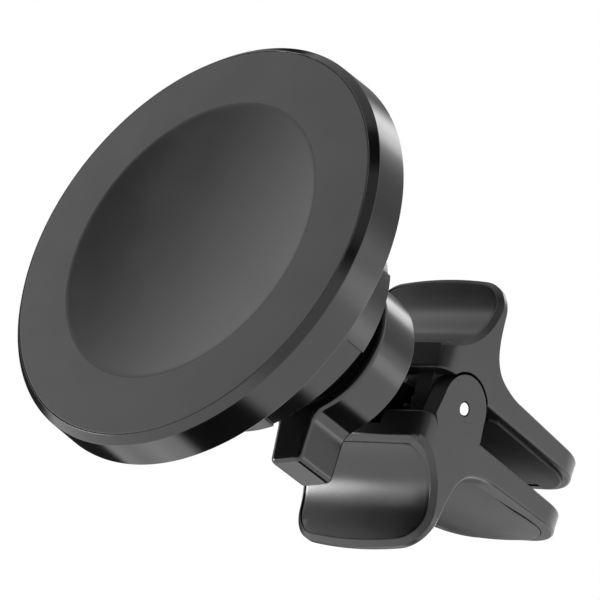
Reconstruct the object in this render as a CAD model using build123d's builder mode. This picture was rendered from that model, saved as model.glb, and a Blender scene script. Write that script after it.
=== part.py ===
from build123d import *

import math
import os

# Car phone mount for an air vent: a magnetic disc on a ball joint, locked by a winged nut, in front of
# a spring clip of two hinged jaws. The origin is the middle of the clip's hinge pin. +X runs along the
# pin, +Y points into the vent, +Z is up, and the phone sits against the disc on the -Y side.
# All sizes are in millimetres.

# Disc
FACE_Y = -46.4
DISC_R = 29.0
DISC_REAR_R = 29.3
DISC_DEPTH = 5.9
FACE_R = 28.0
FACE_BEVEL = 0.93
DISH_R = 20.2
DISH_DEPTH = 0.9
PAD_T = 1.5
ADHESIVE_T = 0.2
FRONT_WALL_T = 0.8
SHELL_WALL = 1.3

# Magnet ring
MAGNET_OUTER_R = 27.0
MAGNET_INNER_R = 23.2
MAGNET_T = 1.8
MAGNET_COUNT = 18
MAGNET_GAP = 0.5
SHIELD_T = 0.5

# Boss behind the disc
BOSS_R = 17.2
BOSS_WALL = 1.7
BOSS_DEPTH = 20.2
COVER_T = 1.0
LAND_RECESS = 0.75
RECESS_FLOOR_SHIFT = 5.0
RECESS_ARC = 52.0
RECESS_COUNT = 4
RECESS_START = 11.0
BOSS_EDGE_R = 0.35

# Ball joint
BALL_Y = -16.5
BALL_R = 7.0
LINER_GAP = 0.05
LINER_T = 0.9
LINER_FRONT = -2.0
LINER_REAR = 3.0
SEAT_RIM = -4.25
SEAT_FRONT = -9.0
SEAT_R = 6.84
SEAT_END_GAP = 0.1
SPIN_GAP = 0.06
NECK_R = 9.3
SOCKET_REAR = 3.7
SOCKET_FLANGE_R = 14.6
SOCKET_FLANGE_T = 2.0
SLOT_COUNT = 6
SLOT_W = 1.2
SLOT_FRONT = -1.0
SCREW_COUNT = 3
SCREW_PCD_R = 12.0
SCREW_R = 1.0
SCREW_HEAD_R = 1.9
SCREW_HEAD_T = 1.3
SCREW_L = 3.0

# Lock nut
NUT_R = 11.3
NUT_FRONT = 27.35
NUT_REAR = 34.65
NUT_MOUTH_R = 9.9
NUT_BORE_R = 9.38
NUT_EXIT_R = 7.4
NUT_CHAMFER = 0.5
WING_TIP_R = 17.9
WING_ROOT_W = 6.0
WING_TIP_W = 5.2
WING_TURN = -7.0
WING_CHAMFER = 0.7

# Clip
HALF_W = 12.0
PIN_R = 1.0
PIN_HALF_L = 11.9
EAR_R = 4.6
EAR_HOLE_R = 1.06
CAVITY_R = 5.0
EAR_T = 2.6
EAR_GAP = 0.3
WALL_Y = -6.1
WALL_Z = 3.2
LIP_Z = 7.0
INNER_Z = 2.6
OUTER_Z = 5.9
TIP_OUTER_Z = 5.5
FRONT_BEVEL = 0.7
EDGE_R = 0.4
TIP_Y = 30.4
TIP_CORNER_R = 7.3
WALL_CORNER_R = 2.4
LEVER_TOP_Z = 20.6
LEVER_SHOULDER_Z = 19.4
LEVER_CORNER_R = 5.0
LEVER_DEPTH = 9.0

# Inlays of each jaw
PAD_MARGIN = 1.2
LEVER_PAD_T = 0.9
LEVER_PAD_MARGIN = 0.8
LEVER_PAD_BOTTOM = 7.8
LEVER_PAD_BOTTOM_R = 3.0
GRIP_FACE_Z = 2.1
GRIP_FLOOR_Z = 3.5
GRIP_FRONT_Y = 7.5
GRIP_FRONT_R = 1.0
GRIP_NOTCH_HALF = 4.8
GRIP_NOTCH_DEPTH = 1.6
PANEL_FRONT_Y = 10.3
PANEL_REAR_Y = 29.1
PANEL_FRONT_HALF = 8.6
PANEL_REAR_HALF = 9.8
PANEL_WIDE_Y = 22.0
PANEL_FRONT_R = 1.5
PANEL_FLOOR_Z = 5.0
PANEL_EDGE_Z = 6.0
PANEL_CROWN = 0.75
PANEL_SEAM = 0.12
PANEL_CORNER_R = 5.6

# Stem and springs
STEM_HALF_W = 3.4
STEM_HUB_R = 3.2
STEM_BOSS_R = 2.8
STEM_BOSS_Y = -8.0
STUD_NECK_R = 2.3
STUD_TAIL_R = 1.5
STUD_TAIL_Y = -1.6
STEM_NOTCH_HALF = 3.8
STEM_NOTCH_Z = 5.4
SPRING_INNER_R = 1.5
SPRING_OUTER_R = 2.5
SPRING_START = 3.8
SPRING_L = 2.4
SPRING_WIRE_R = 0.35
SPRING_LEG_Y = -4.9
SPRING_LEG_Z = 2.65
SPRING_LEG_INSET = 0.6

os.makedirs("parts", exist_ok=True)


def save(builder, name):
    """Label a finished piece and write its STEP file."""
    builder.part.label = name
    export_step(builder.part, f"parts/{name}.step")


def disc_y(depth):
    """Height along Y of a plane that lies depth behind the disc's face."""
    return FACE_Y + depth


def across(y):
    """Plane square to the Y axis at y, with +X and +Z in it. Extrusion runs towards +Y."""
    return Plane(origin=(0, y, 0), x_dir=(-1, 0, 0), z_dir=(0, 1, 0))


def wedge_corner(side):
    """Outer corner of a recess's wedge, on one side of its middle line."""
    half = math.radians(RECESS_ARC / 2)
    reach = 2 * BOSS_R
    return (reach * math.cos(half), side * reach * math.sin(half))


# Layers of the disc, front to back
pad_back = disc_y(PAD_T)
adhesive_back = disc_y(PAD_T + ADHESIVE_T)
wall_back = disc_y(PAD_T + ADHESIVE_T + FRONT_WALL_T)
magnet_back = wall_back + MAGNET_T
shield_back = magnet_back + SHIELD_T
rim_back = disc_y(DISC_DEPTH)
boss_back = disc_y(BOSS_DEPTH)
shell_inner_r = FACE_R - 0.1

# ---------------------------------------------------------------- head: disc

# Soft pad with a shallow dish, flush with the rim's front edge
with BuildPart() as face_pad:
    with BuildSketch(Plane.XY):
        with BuildLine():
            ThreePointArc(
                (0, FACE_Y + DISH_DEPTH),
                (DISH_R / 2, FACE_Y + DISH_DEPTH * 0.75),
                (DISH_R, FACE_Y),
            )
            Polyline(
                (DISH_R, FACE_Y),
                (shell_inner_r, FACE_Y),
                (shell_inner_r, pad_back),
                (0, pad_back),
                (0, FACE_Y + DISH_DEPTH),
            )
        make_face()
    revolve(axis=Axis.Y)
save(face_pad, "face_pad")

with BuildPart() as adhesive_disc:
    with BuildSketch(across(pad_back)):
        Circle(shell_inner_r - 0.4)
    extrude(amount=ADHESIVE_T)
save(adhesive_disc, "adhesive_disc")

# Cup-shaped rim: bevelled front lip round the pad, flared side wall, and the wall behind the pad
with BuildPart() as rim_shell:
    with BuildSketch(Plane.XY):
        with BuildLine():
            Polyline(
                (0, adhesive_back),
                (shell_inner_r, adhesive_back),
                (shell_inner_r, FACE_Y + 0.1),
                (FACE_R, FACE_Y),
                (DISC_R, disc_y(FACE_BEVEL)),
                (DISC_REAR_R, rim_back - 0.3),
                (DISC_REAR_R - 0.3, rim_back),
                (DISC_R - SHELL_WALL, rim_back),
                (DISC_R - SHELL_WALL, wall_back),
                (0, wall_back),
                close=True,
            )
        make_face()
    revolve(axis=Axis.Y)
save(rim_shell, "rim_shell")

# Arc magnets side by side in a ring
with BuildPart() as magnet_ring:
    with BuildSketch(across(wall_back)):
        Circle(MAGNET_OUTER_R)
        Circle(MAGNET_INNER_R, mode=Mode.SUBTRACT)
        with PolarLocations(MAGNET_INNER_R + 2, MAGNET_COUNT):
            Rectangle(8, MAGNET_GAP, mode=Mode.SUBTRACT)
    extrude(amount=MAGNET_T)
save(magnet_ring, "magnet_ring")

# Steel ring that closes the magnets' field at the back
with BuildPart() as shield_ring:
    with BuildSketch(across(magnet_back)):
        Circle(MAGNET_OUTER_R + 0.3)
        Circle(MAGNET_INNER_R - 0.5, mode=Mode.SUBTRACT)
    extrude(amount=SHIELD_T)
save(shield_ring, "shield_ring")

# Plastic locator that fills the middle of the magnet ring, with lightening holes
with BuildPart() as magnet_tray:
    with BuildSketch(across(wall_back)):
        Circle(MAGNET_INNER_R - 0.7)
        with PolarLocations(14.5, 6):
            Circle(4.5, mode=Mode.SUBTRACT)
        Circle(6.0, mode=Mode.SUBTRACT)
    extrude(amount=MAGNET_T)
save(magnet_tray, "magnet_tray")

# ---------------------------------------------------------------- head: boss and socket

# Back cover: plate inside the rim, deep hollow boss and a rear wall with a hole for the socket's neck.
# Four shallow recesses at its rear end leave raised lands between them. Their floors are flatter than the
# boss, so each recess is deepest in its middle.
cover_r = DISC_R - SHELL_WALL - 0.1
with BuildSketch() as recess:
    Polygon((0, 0), wedge_corner(-1), wedge_corner(1), align=None)
    Circle(BOSS_R + 1, mode=Mode.INTERSECT)
    with Locations((-RECESS_FLOOR_SHIFT, 0)):
        Circle(BOSS_R - LAND_RECESS + RECESS_FLOOR_SHIFT, mode=Mode.SUBTRACT)
with BuildPart() as back_cover:
    with BuildSketch(across(rim_back - COVER_T)):
        Circle(cover_r)
    extrude(amount=COVER_T)
    with BuildSketch(across(rim_back)):
        Circle(BOSS_R)
    extrude(amount=boss_back - rim_back)
    fillet(back_cover.edges().filter_by(GeomType.CIRCLE).sort_by(Axis.Y)[-1], BOSS_EDGE_R)
    with BuildSketch(across(rim_back + RECESS_START)):
        with PolarLocations(0, RECESS_COUNT, start_angle=45):
            add(recess.sketch)
    extrude(amount=boss_back - rim_back, mode=Mode.SUBTRACT)
    with BuildSketch(across(rim_back - COVER_T)):
        Circle(BOSS_R - BOSS_WALL)
    extrude(amount=boss_back - BOSS_WALL - rim_back + COVER_T, mode=Mode.SUBTRACT)
    with BuildSketch(across(boss_back - BOSS_WALL)):
        Circle(NECK_R)
        with PolarLocations(SCREW_PCD_R, SCREW_COUNT):
            Circle(SCREW_R)
    extrude(amount=BOSS_WALL, mode=Mode.SUBTRACT)
save(back_cover, "back_cover")

# Ball socket: flange inside the boss, neck through its rear wall, bore for the seat and a round cavity
# for the liner. Slots split the rear end into fingers that the nut squeezes.
flange_front = boss_back - BOSS_WALL - SOCKET_FLANGE_T
cavity_r = BALL_R + LINER_GAP + LINER_T + LINER_GAP
seat_bore_r = SEAT_R + SPIN_GAP
socket_back = BALL_Y + SOCKET_REAR
with BuildPart() as ball_socket:
    with BuildSketch(Plane.XY):
        with BuildLine():
            Polyline(
                (0, flange_front),
                (SOCKET_FLANGE_R, flange_front),
                (SOCKET_FLANGE_R, boss_back - BOSS_WALL),
                (NECK_R, boss_back - BOSS_WALL),
                (NECK_R, socket_back - 1.2),
                (NECK_R - 0.8, socket_back),
                (0, socket_back),
                close=True,
            )
        make_face()
    revolve(axis=Axis.Y)
    with BuildSketch(Plane.XY):
        with BuildLine():
            rim = math.sqrt(cavity_r**2 - SOCKET_REAR**2)
            front = math.sqrt(cavity_r**2 - seat_bore_r**2)
            Line((0, BALL_Y + SEAT_FRONT), (seat_bore_r, BALL_Y + SEAT_FRONT))
            Line((seat_bore_r, BALL_Y + SEAT_FRONT), (seat_bore_r, BALL_Y - front))
            ThreePointArc((seat_bore_r, BALL_Y - front), (cavity_r, BALL_Y), (rim, socket_back))
            Line((rim, socket_back), (0, socket_back))
            Line((0, socket_back), (0, BALL_Y + SEAT_FRONT))
        make_face()
    revolve(axis=Axis.Y, mode=Mode.SUBTRACT)
    with BuildSketch(across(BALL_Y + SLOT_FRONT)):
        with PolarLocations(0, SLOT_COUNT):
            Rectangle(NECK_R + 1, SLOT_W, align=(Align.MIN, Align.CENTER))
    extrude(amount=SOCKET_REAR - SLOT_FRONT, mode=Mode.SUBTRACT)
    with BuildSketch(across(flange_front)):
        with PolarLocations(SCREW_PCD_R, SCREW_COUNT):
            Circle(SCREW_R)
    extrude(amount=SOCKET_FLANGE_T, mode=Mode.SUBTRACT)
save(ball_socket, "ball_socket")

# Three screws that hold the flange to the boss's rear wall
with BuildPart() as socket_screws:
    with BuildSketch(across(flange_front - SCREW_HEAD_T)):
        with PolarLocations(SCREW_PCD_R, SCREW_COUNT):
            Circle(SCREW_HEAD_R)
    extrude(amount=SCREW_HEAD_T)
    with BuildSketch(across(flange_front)):
        with PolarLocations(SCREW_PCD_R, SCREW_COUNT):
            Circle(SCREW_R)
    extrude(amount=SCREW_L)
    with BuildSketch(across(flange_front - SCREW_HEAD_T)):
        with PolarLocations(SCREW_PCD_R, SCREW_COUNT):
            Rectangle(2 * SCREW_HEAD_R - 1.2, 0.5)
            Rectangle(0.5, 2 * SCREW_HEAD_R - 1.2)
    extrude(amount=SCREW_HEAD_T / 2, mode=Mode.SUBTRACT)
save(socket_screws, "socket_screws")

# Cup in front of the ball. It turns in the socket's bore.
contact_r = BALL_R + LINER_GAP
with BuildPart() as ball_seat:
    with BuildSketch(Plane.XY):
        with BuildLine():
            rim = math.sqrt(contact_r**2 - SEAT_RIM**2)
            middle = contact_r / math.sqrt(2)
            Line((0, BALL_Y + SEAT_FRONT + SEAT_END_GAP), (SEAT_R, BALL_Y + SEAT_FRONT + SEAT_END_GAP))
            Line((SEAT_R, BALL_Y + SEAT_FRONT + SEAT_END_GAP), (SEAT_R, BALL_Y + SEAT_RIM))
            Line((SEAT_R, BALL_Y + SEAT_RIM), (rim, BALL_Y + SEAT_RIM))
            ThreePointArc((rim, BALL_Y + SEAT_RIM), (middle, BALL_Y - middle), (0, BALL_Y - contact_r))
            Line((0, BALL_Y - contact_r), (0, BALL_Y + SEAT_FRONT + SEAT_END_GAP))
        make_face()
    revolve(axis=Axis.Y)
save(ball_seat, "ball_seat")

# Liner: a band of a thin round shell between the ball and the socket's cavity
liner_outer_r = contact_r + LINER_T
with BuildPart() as ball_liner:
    with BuildSketch(Plane.XY):
        with BuildLine():
            inner_front = (math.sqrt(contact_r**2 - LINER_FRONT**2), BALL_Y + LINER_FRONT)
            inner_rear = (math.sqrt(contact_r**2 - LINER_REAR**2), BALL_Y + LINER_REAR)
            outer_front = (math.sqrt(liner_outer_r**2 - LINER_FRONT**2), BALL_Y + LINER_FRONT)
            outer_rear = (math.sqrt(liner_outer_r**2 - LINER_REAR**2), BALL_Y + LINER_REAR)
            ThreePointArc(inner_front, (contact_r, BALL_Y), inner_rear)
            Line(inner_rear, outer_rear)
            ThreePointArc(outer_rear, (liner_outer_r, BALL_Y), outer_front)
            Line(outer_front, inner_front)
        make_face()
    revolve(axis=Axis.Y)
save(ball_liner, "ball_liner")

# ---------------------------------------------------------------- head: lock nut

nut_front = disc_y(NUT_FRONT)
nut_rear = disc_y(NUT_REAR)
wing_front = nut_front + 0.1
wing_len = nut_rear - wing_front - 0.1
nut_turned = Plane(
    origin=(0, wing_front, 0),
    x_dir=(-math.cos(math.radians(WING_TURN)), 0, math.sin(math.radians(WING_TURN))),
    z_dir=(0, 1, 0),
)
with BuildPart() as lock_nut:
    with BuildSketch(nut_turned):
        for end in (1, -1):
            with BuildLine():
                Polyline(
                    (-WING_ROOT_W / 2, 0),
                    (-WING_TIP_W / 2, end * WING_TIP_R),
                    (WING_TIP_W / 2, end * WING_TIP_R),
                    (WING_ROOT_W / 2, 0),
                    close=True,
                )
            make_face()
    extrude(amount=wing_len)
    tip_edges = lock_nut.edges().filter_by(GeomType.LINE).group_by(Axis.Y)[0]
    chamfer(tip_edges, WING_CHAMFER)
    with BuildSketch(Plane.XY):
        with BuildLine():
            Polyline(
                (0, nut_front),
                (NUT_R - 0.2, nut_front),
                (NUT_R, nut_front + 0.2),
                (NUT_R, nut_rear - NUT_CHAMFER),
                (NUT_R - NUT_CHAMFER, nut_rear),
                (0, nut_rear),
                close=True,
            )
        make_face()
    revolve(axis=Axis.Y)
    with BuildSketch(Plane.XY):
        with BuildLine():
            Polyline(
                (0, nut_front),
                (NUT_MOUTH_R, nut_front),
                (NUT_MOUTH_R, nut_front + 0.6),
                (NUT_BORE_R, nut_front + 1.2),
                (NUT_BORE_R, socket_back - 1.1),
                (NUT_BORE_R - 0.8, socket_back + 0.15),
                (NUT_EXIT_R, socket_back + 0.15),
                (NUT_EXIT_R, nut_rear),
                (0, nut_rear),
                close=True,
            )
        make_face()
    revolve(axis=Axis.Y, mode=Mode.SUBTRACT)
save(lock_nut, "lock_nut")

# ---------------------------------------------------------------- carrier: stud, block, pin, springs

# Ball with its neck and the tail that is screwed into the stem block
with BuildPart() as ball_stud:
    with BuildSketch(Plane.XY):
        with BuildLine():
            neck_start = BALL_Y + math.sqrt(BALL_R**2 - STUD_NECK_R**2)
            ThreePointArc((0, BALL_Y - BALL_R), (BALL_R, BALL_Y), (STUD_NECK_R, neck_start))
            Polyline(
                (STUD_NECK_R, neck_start),
                (STUD_NECK_R, STEM_BOSS_Y),
                (STUD_TAIL_R, STEM_BOSS_Y),
                (STUD_TAIL_R, STUD_TAIL_Y),
                (0, STUD_TAIL_Y),
                (0, BALL_Y - BALL_R),
            )
        make_face()
    revolve(axis=Axis.Y)
save(ball_stud, "ball_stud")

# Block on the hinge pin, with the boss that takes the stud's tail
with BuildPart() as stem_block:
    with BuildSketch(Plane.YZ):
        Circle(STEM_HUB_R)
    extrude(amount=STEM_HALF_W, both=True)
    with BuildSketch(across(STEM_BOSS_Y)):
        Circle(STEM_BOSS_R)
    extrude(amount=-STEM_BOSS_Y)
    chamfer(stem_block.edges().filter_by(GeomType.CIRCLE).sort_by(Axis.Y)[0], 0.3)
    with BuildSketch(across(STEM_BOSS_Y)):
        Circle(STUD_TAIL_R)
    extrude(amount=STUD_TAIL_Y - STEM_BOSS_Y, mode=Mode.SUBTRACT)
    with BuildSketch(Plane.YZ):
        Circle(PIN_R)
    extrude(amount=STEM_HALF_W, both=True, mode=Mode.SUBTRACT)
save(stem_block, "stem_block")

with BuildPart() as hinge_pin:
    with BuildSketch(Plane.YZ):
        Circle(PIN_R)
    extrude(amount=PIN_HALF_L, both=True)
    chamfer(hinge_pin.edges().filter_by(GeomType.CIRCLE), 0.15)
save(hinge_pin, "hinge_pin")

# Two coiled springs on the pin, one each side of the stem block, as plain sleeves with their legs
with BuildPart() as torsion_springs:
    for side in (1, -1):
        near = side * SPRING_START
        far = side * (SPRING_START + SPRING_L)
        with BuildSketch(Plane.YZ.offset(min(near, far))):
            Circle(SPRING_OUTER_R)
            Circle(SPRING_INNER_R, mode=Mode.SUBTRACT)
        extrude(amount=SPRING_L)
        for leg_x, level in ((near + side * SPRING_LEG_INSET, 1), (far - side * SPRING_LEG_INSET, -1)):
            leg_start = (leg_x, 0, level * (SPRING_OUTER_R + SPRING_INNER_R) / 2)
            leg_end = (leg_x, SPRING_LEG_Y, level * SPRING_LEG_Z)
            leg = Vector(*leg_end) - Vector(*leg_start)
            with BuildSketch(Plane(origin=leg_start, z_dir=leg)):
                Circle(SPRING_WIRE_R)
            extrude(amount=leg.length)
save(torsion_springs, "torsion_springs")

# ---------------------------------------------------------------- clip: two jaws with their inlays


def shoulder_outline(plane, margin, bottom_z, bottom_r=0):
    """Sketch of the lever seen along Y: straight sides, round shoulders and a crowned top."""
    half = HALF_W - margin
    shoulder_z = LEVER_SHOULDER_Z - margin
    crown_z = LEVER_TOP_Z - margin
    corner_r = LEVER_CORNER_R - margin
    with BuildSketch(plane) as outline:
        with BuildLine():
            Polyline((-half, shoulder_z), (-half, bottom_z), (half, bottom_z), (half, shoulder_z))
            ThreePointArc((half, shoulder_z), (0, crown_z), (-half, shoulder_z))
        make_face()
        fillet(outline.vertices().group_by(Axis.Y)[-1], corner_r)
        if bottom_r:
            fillet(outline.vertices().group_by(Axis.Y)[0], bottom_r)
    return outline


def tip_outline(plane, margin, front_y, front_r):
    """Sketch of the jaw seen from above, inset by margin, with its round tip corners."""
    with BuildSketch(plane) as outline:
        with Locations((0, front_y)):
            Rectangle(
                2 * (HALF_W - margin),
                TIP_Y - margin - front_y,
                align=(Align.CENTER, Align.MIN),
            )
        fillet(outline.vertices().group_by(Axis.Y)[-1], TIP_CORNER_R - margin)
        fillet(outline.vertices().group_by(Axis.Y)[0], front_r)
    return outline


def panel_outline(grow):
    """Sketch of the outer panel seen from above, grown all round by grow."""
    with BuildSketch(Plane.XY.offset(PANEL_FLOOR_Z)) as outline:
        Polygon(
            (-PANEL_FRONT_HALF, PANEL_FRONT_Y),
            (PANEL_FRONT_HALF, PANEL_FRONT_Y),
            (PANEL_REAR_HALF, PANEL_WIDE_Y),
            (PANEL_REAR_HALF, PANEL_REAR_Y),
            (-PANEL_REAR_HALF, PANEL_REAR_Y),
            (-PANEL_REAR_HALF, PANEL_WIDE_Y),
            align=None,
        )
        fillet(outline.vertices().group_by(Axis.Y)[-1], PANEL_CORNER_R)
        fillet(outline.vertices().group_by(Axis.Y)[0], PANEL_FRONT_R)
        if grow:
            offset(amount=grow)
    return outline


def turned_half(upper, name):
    """The lower half's piece: the upper one turned half a turn about the Y axis."""
    with BuildPart() as lower:
        add(upper.part.rotate(Axis.Y, 180))
    save(lower, name)
    return lower


# Concave front of the lever, from the lip above the front wall to the tip
front_points = [(-5.3, 7.6), (-3.2, 9.0), (-1.1, 11.4), (0.1, 14.4), (0.35, 17.4), (0.1, 20.8)]
# Back of the lever, from its tip down into the top of the jaw
back_points = [
    (1.9, 20.8), (2.1, 17.2), (2.45, 14.0), (2.9, 11.6),
    (3.8, 9.3), (5.5, 7.6), (7.8, 6.7), (10.6, 6.25),
]
outer_slope = (TIP_Y - back_points[-1][0], TIP_OUTER_Z - back_points[-1][1])

# Glossy pad let into the lever's front face
pad_outline = shoulder_outline(across(WALL_Y), LEVER_PAD_MARGIN, LEVER_PAD_BOTTOM, LEVER_PAD_BOTTOM_R)
with BuildPart() as upper_lever_pad:
    with BuildSketch(Plane.YZ):
        with BuildLine():
            pad_front = Spline(*front_points)
            Line(pad_front @ 1, (pad_front @ 1) + (LEVER_PAD_T, 0))
            Spline(*[(y + LEVER_PAD_T, z) for y, z in front_points])
            Line(pad_front @ 0, (pad_front @ 0) + (LEVER_PAD_T, 0))
        make_face()
    extrude(amount=HALF_W, both=True)
    extrude(pad_outline.sketch, amount=LEVER_DEPTH, mode=Mode.INTERSECT)
save(upper_lever_pad, "upper_lever_pad")
turned_half(upper_lever_pad, "lower_lever_pad")

# Rubber pad on the jaw's inner face, standing proud, with a notch in the middle of its tip
grip_outline = tip_outline(Plane.XY.offset(GRIP_FACE_Z), PAD_MARGIN, GRIP_FRONT_Y, GRIP_FRONT_R)
with BuildPart() as upper_grip_pad:
    extrude(grip_outline.sketch, amount=GRIP_FLOOR_Z - GRIP_FACE_Z)
    with BuildSketch(Plane.XY.offset(GRIP_FACE_Z)):
        with Locations((0, TIP_Y - PAD_MARGIN)):
            Rectangle(2 * GRIP_NOTCH_HALF, 2 * GRIP_NOTCH_DEPTH)
    extrude(amount=GRIP_FLOOR_Z - GRIP_FACE_Z, mode=Mode.SUBTRACT)
save(upper_grip_pad, "upper_grip_pad")
turned_half(upper_grip_pad, "lower_grip_pad")

# Crowned panel let into the jaw's outer face
with BuildPart() as upper_outer_panel:
    extrude(panel_outline(0).sketch, amount=PANEL_EDGE_Z + PANEL_CROWN - PANEL_FLOOR_Z)
    with BuildSketch(across(PANEL_FRONT_Y)):
        with BuildLine():
            ThreePointArc(
                (-PANEL_REAR_HALF, PANEL_EDGE_Z),
                (0, PANEL_EDGE_Z + PANEL_CROWN),
                (PANEL_REAR_HALF, PANEL_EDGE_Z),
            )
            Polyline(
                (PANEL_REAR_HALF, PANEL_EDGE_Z),
                (PANEL_REAR_HALF, PANEL_FLOOR_Z),
                (-PANEL_REAR_HALF, PANEL_FLOOR_Z),
                (-PANEL_REAR_HALF, PANEL_EDGE_Z),
            )
        make_face()
    extrude(amount=PANEL_REAR_Y - PANEL_FRONT_Y, mode=Mode.INTERSECT)
save(upper_outer_panel, "upper_outer_panel")
turned_half(upper_outer_panel, "lower_outer_panel")

# Jaw: arm, front wall and lever in one moulding, with an outer ear on the -X side and an inner ear
# on the +X side. The other half's ears pass through its round cavity.
jaw_end = shoulder_outline(across(WALL_Y), 0, 0)
jaw_plan = tip_outline(Plane.XY, 0, WALL_Y, WALL_CORNER_R)
with BuildPart() as upper_jaw:
    with BuildSketch(Plane.YZ):
        with BuildLine():
            front = Spline(*front_points)
            Line(front @ 1, back_points[0])
            back = Spline(*back_points, tangents=[(0, -1), outer_slope])
            Polyline(
                back @ 1,
                (TIP_Y, TIP_OUTER_Z),
                (TIP_Y, INNER_Z),
                (0, INNER_Z),
                (0, WALL_Z),
                (WALL_Y, WALL_Z),
                (WALL_Y, LIP_Z),
                front @ 0,
            )
        make_face()
    extrude(amount=HALF_W, both=True)
    extrude(jaw_end.sketch, amount=TIP_Y - WALL_Y, mode=Mode.INTERSECT)
    extrude(jaw_plan.sketch, amount=LEVER_TOP_Z + 1, mode=Mode.INTERSECT)
    # bevel round the lever's front face, then rounded edges on the lever's back, the outer face,
    # the inner face and the front wall
    front_face = upper_jaw.faces().sort_by_distance((0, *front_points[3]))[0]
    chamfer(front_face.edges().filter_by(lambda edge: edge.center().Z > LIP_Z + 1), FRONT_BEVEL)
    back_face = upper_jaw.faces().sort_by_distance((0, *back_points[3]))[0]
    fillet(back_face.edges().filter_by(lambda edge: edge.center().Z > OUTER_Z + 0.5), EDGE_R)
    inner_face = upper_jaw.faces().sort_by_distance((0, TIP_Y / 2, INNER_Z))[0]
    fillet(inner_face.edges().filter_by(lambda edge: edge.center().Y > 1), EDGE_R)
    wall_face = upper_jaw.faces().sort_by_distance((0, WALL_Y, (WALL_Z + LIP_Z) / 2))[0]
    fillet(wall_face.edges().filter_by(Axis.X), EDGE_R)
    # round cavity about the pin
    with BuildSketch(Plane.YZ):
        Circle(CAVITY_R)
    extrude(amount=HALF_W, both=True, mode=Mode.SUBTRACT)
    # ears
    for ear_start in (-HALF_W, HALF_W - 2 * EAR_T - EAR_GAP):
        with BuildSketch(Plane.YZ.offset(ear_start)):
            Circle(EAR_R)
            Polygon(
                (-EAR_R, 0),
                (-EAR_R - 0.45, WALL_Z),
                (-EAR_R + 1, CAVITY_R),
                (EAR_R - 1, CAVITY_R),
                (EAR_R + 0.5, INNER_Z),
                (EAR_R, 0),
                align=None,
            )
        extrude(amount=EAR_T)
    with BuildSketch(Plane.YZ):
        Circle(EAR_HOLE_R)
    extrude(amount=HALF_W, both=True, mode=Mode.SUBTRACT)
    # notch in the front wall for the stem
    with BuildSketch(across(WALL_Y - 1)):
        Rectangle(2 * STEM_NOTCH_HALF, STEM_NOTCH_Z, align=(Align.CENTER, Align.MIN))
    extrude(amount=1 - WALL_Y, mode=Mode.SUBTRACT)
    # pockets for the inlays
    add(upper_lever_pad.part, mode=Mode.SUBTRACT)
    extrude(panel_outline(PANEL_SEAM).sketch, amount=PANEL_CROWN + OUTER_Z, mode=Mode.SUBTRACT)
    extrude(grip_outline.sketch, amount=GRIP_FLOOR_Z - GRIP_FACE_Z, mode=Mode.SUBTRACT)
save(upper_jaw, "upper_jaw")
turned_half(upper_jaw, "lower_jaw")
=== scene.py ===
"""Looks of a car phone mount for an air vent.

A magnetic disc sits on a ball joint with a winged lock nut, on a spring clip of two hinged jaws.
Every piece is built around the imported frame, in its axes: +X along the clip's hinge pin, +Y into
the vent, +Z up.
"""

import logging
import math
from dataclasses import dataclass
from enum import Enum
from typing import Any, Sequence

import bpy
from mathutils import Matrix, Vector


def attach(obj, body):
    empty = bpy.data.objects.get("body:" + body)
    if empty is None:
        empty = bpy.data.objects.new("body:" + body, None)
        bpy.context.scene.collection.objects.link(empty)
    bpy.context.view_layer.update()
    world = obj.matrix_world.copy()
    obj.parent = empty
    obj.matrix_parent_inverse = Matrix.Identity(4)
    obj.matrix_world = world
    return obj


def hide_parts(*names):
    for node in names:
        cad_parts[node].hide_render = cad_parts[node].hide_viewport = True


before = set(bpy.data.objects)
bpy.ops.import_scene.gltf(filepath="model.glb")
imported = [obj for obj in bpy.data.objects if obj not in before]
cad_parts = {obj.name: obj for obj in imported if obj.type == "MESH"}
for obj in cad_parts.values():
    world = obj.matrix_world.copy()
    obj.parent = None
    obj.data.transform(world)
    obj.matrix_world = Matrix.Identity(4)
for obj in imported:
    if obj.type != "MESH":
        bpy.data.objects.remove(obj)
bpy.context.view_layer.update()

MM = 0.001
MERGE = 1e-7
MOTTLE_MM = 6.0
HAZE_MM = 11.0
PITS_TO_GRAIN = 3.1
POLISHED_EDGE = 0.1
METAL_PATCH_MM = 2.5
Point = Sequence[float]

log = logging.getLogger("phone_mount")


# --- shader graphs


class Value:
    """An output of a shader node that can be used in arithmetic."""

    def __init__(self, graph: "Graph", socket: bpy.types.NodeSocket) -> None:
        """Keep the output and the graph it belongs to."""
        self.graph = graph
        self.socket = socket

    def _math(self, operation: str, first: Any, second: Any) -> "Value":
        """Result of one Math node on two values or numbers."""
        return self.graph.add("ShaderNodeMath", {"operation": operation}, {0: first, 1: second})

    def __add__(self, other: Any) -> "Value":
        """Sum of this and other."""
        return self._math("ADD", self, other)

    __radd__ = __add__

    def __sub__(self, other: Any) -> "Value":
        """This less other."""
        return self._math("SUBTRACT", self, other)

    def __rsub__(self, other: Any) -> "Value":
        """Other less this."""
        return self._math("SUBTRACT", other, self)

    def __mul__(self, other: Any) -> "Value":
        """Product of this and other."""
        return self._math("MULTIPLY", self, other)

    __rmul__ = __mul__


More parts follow.
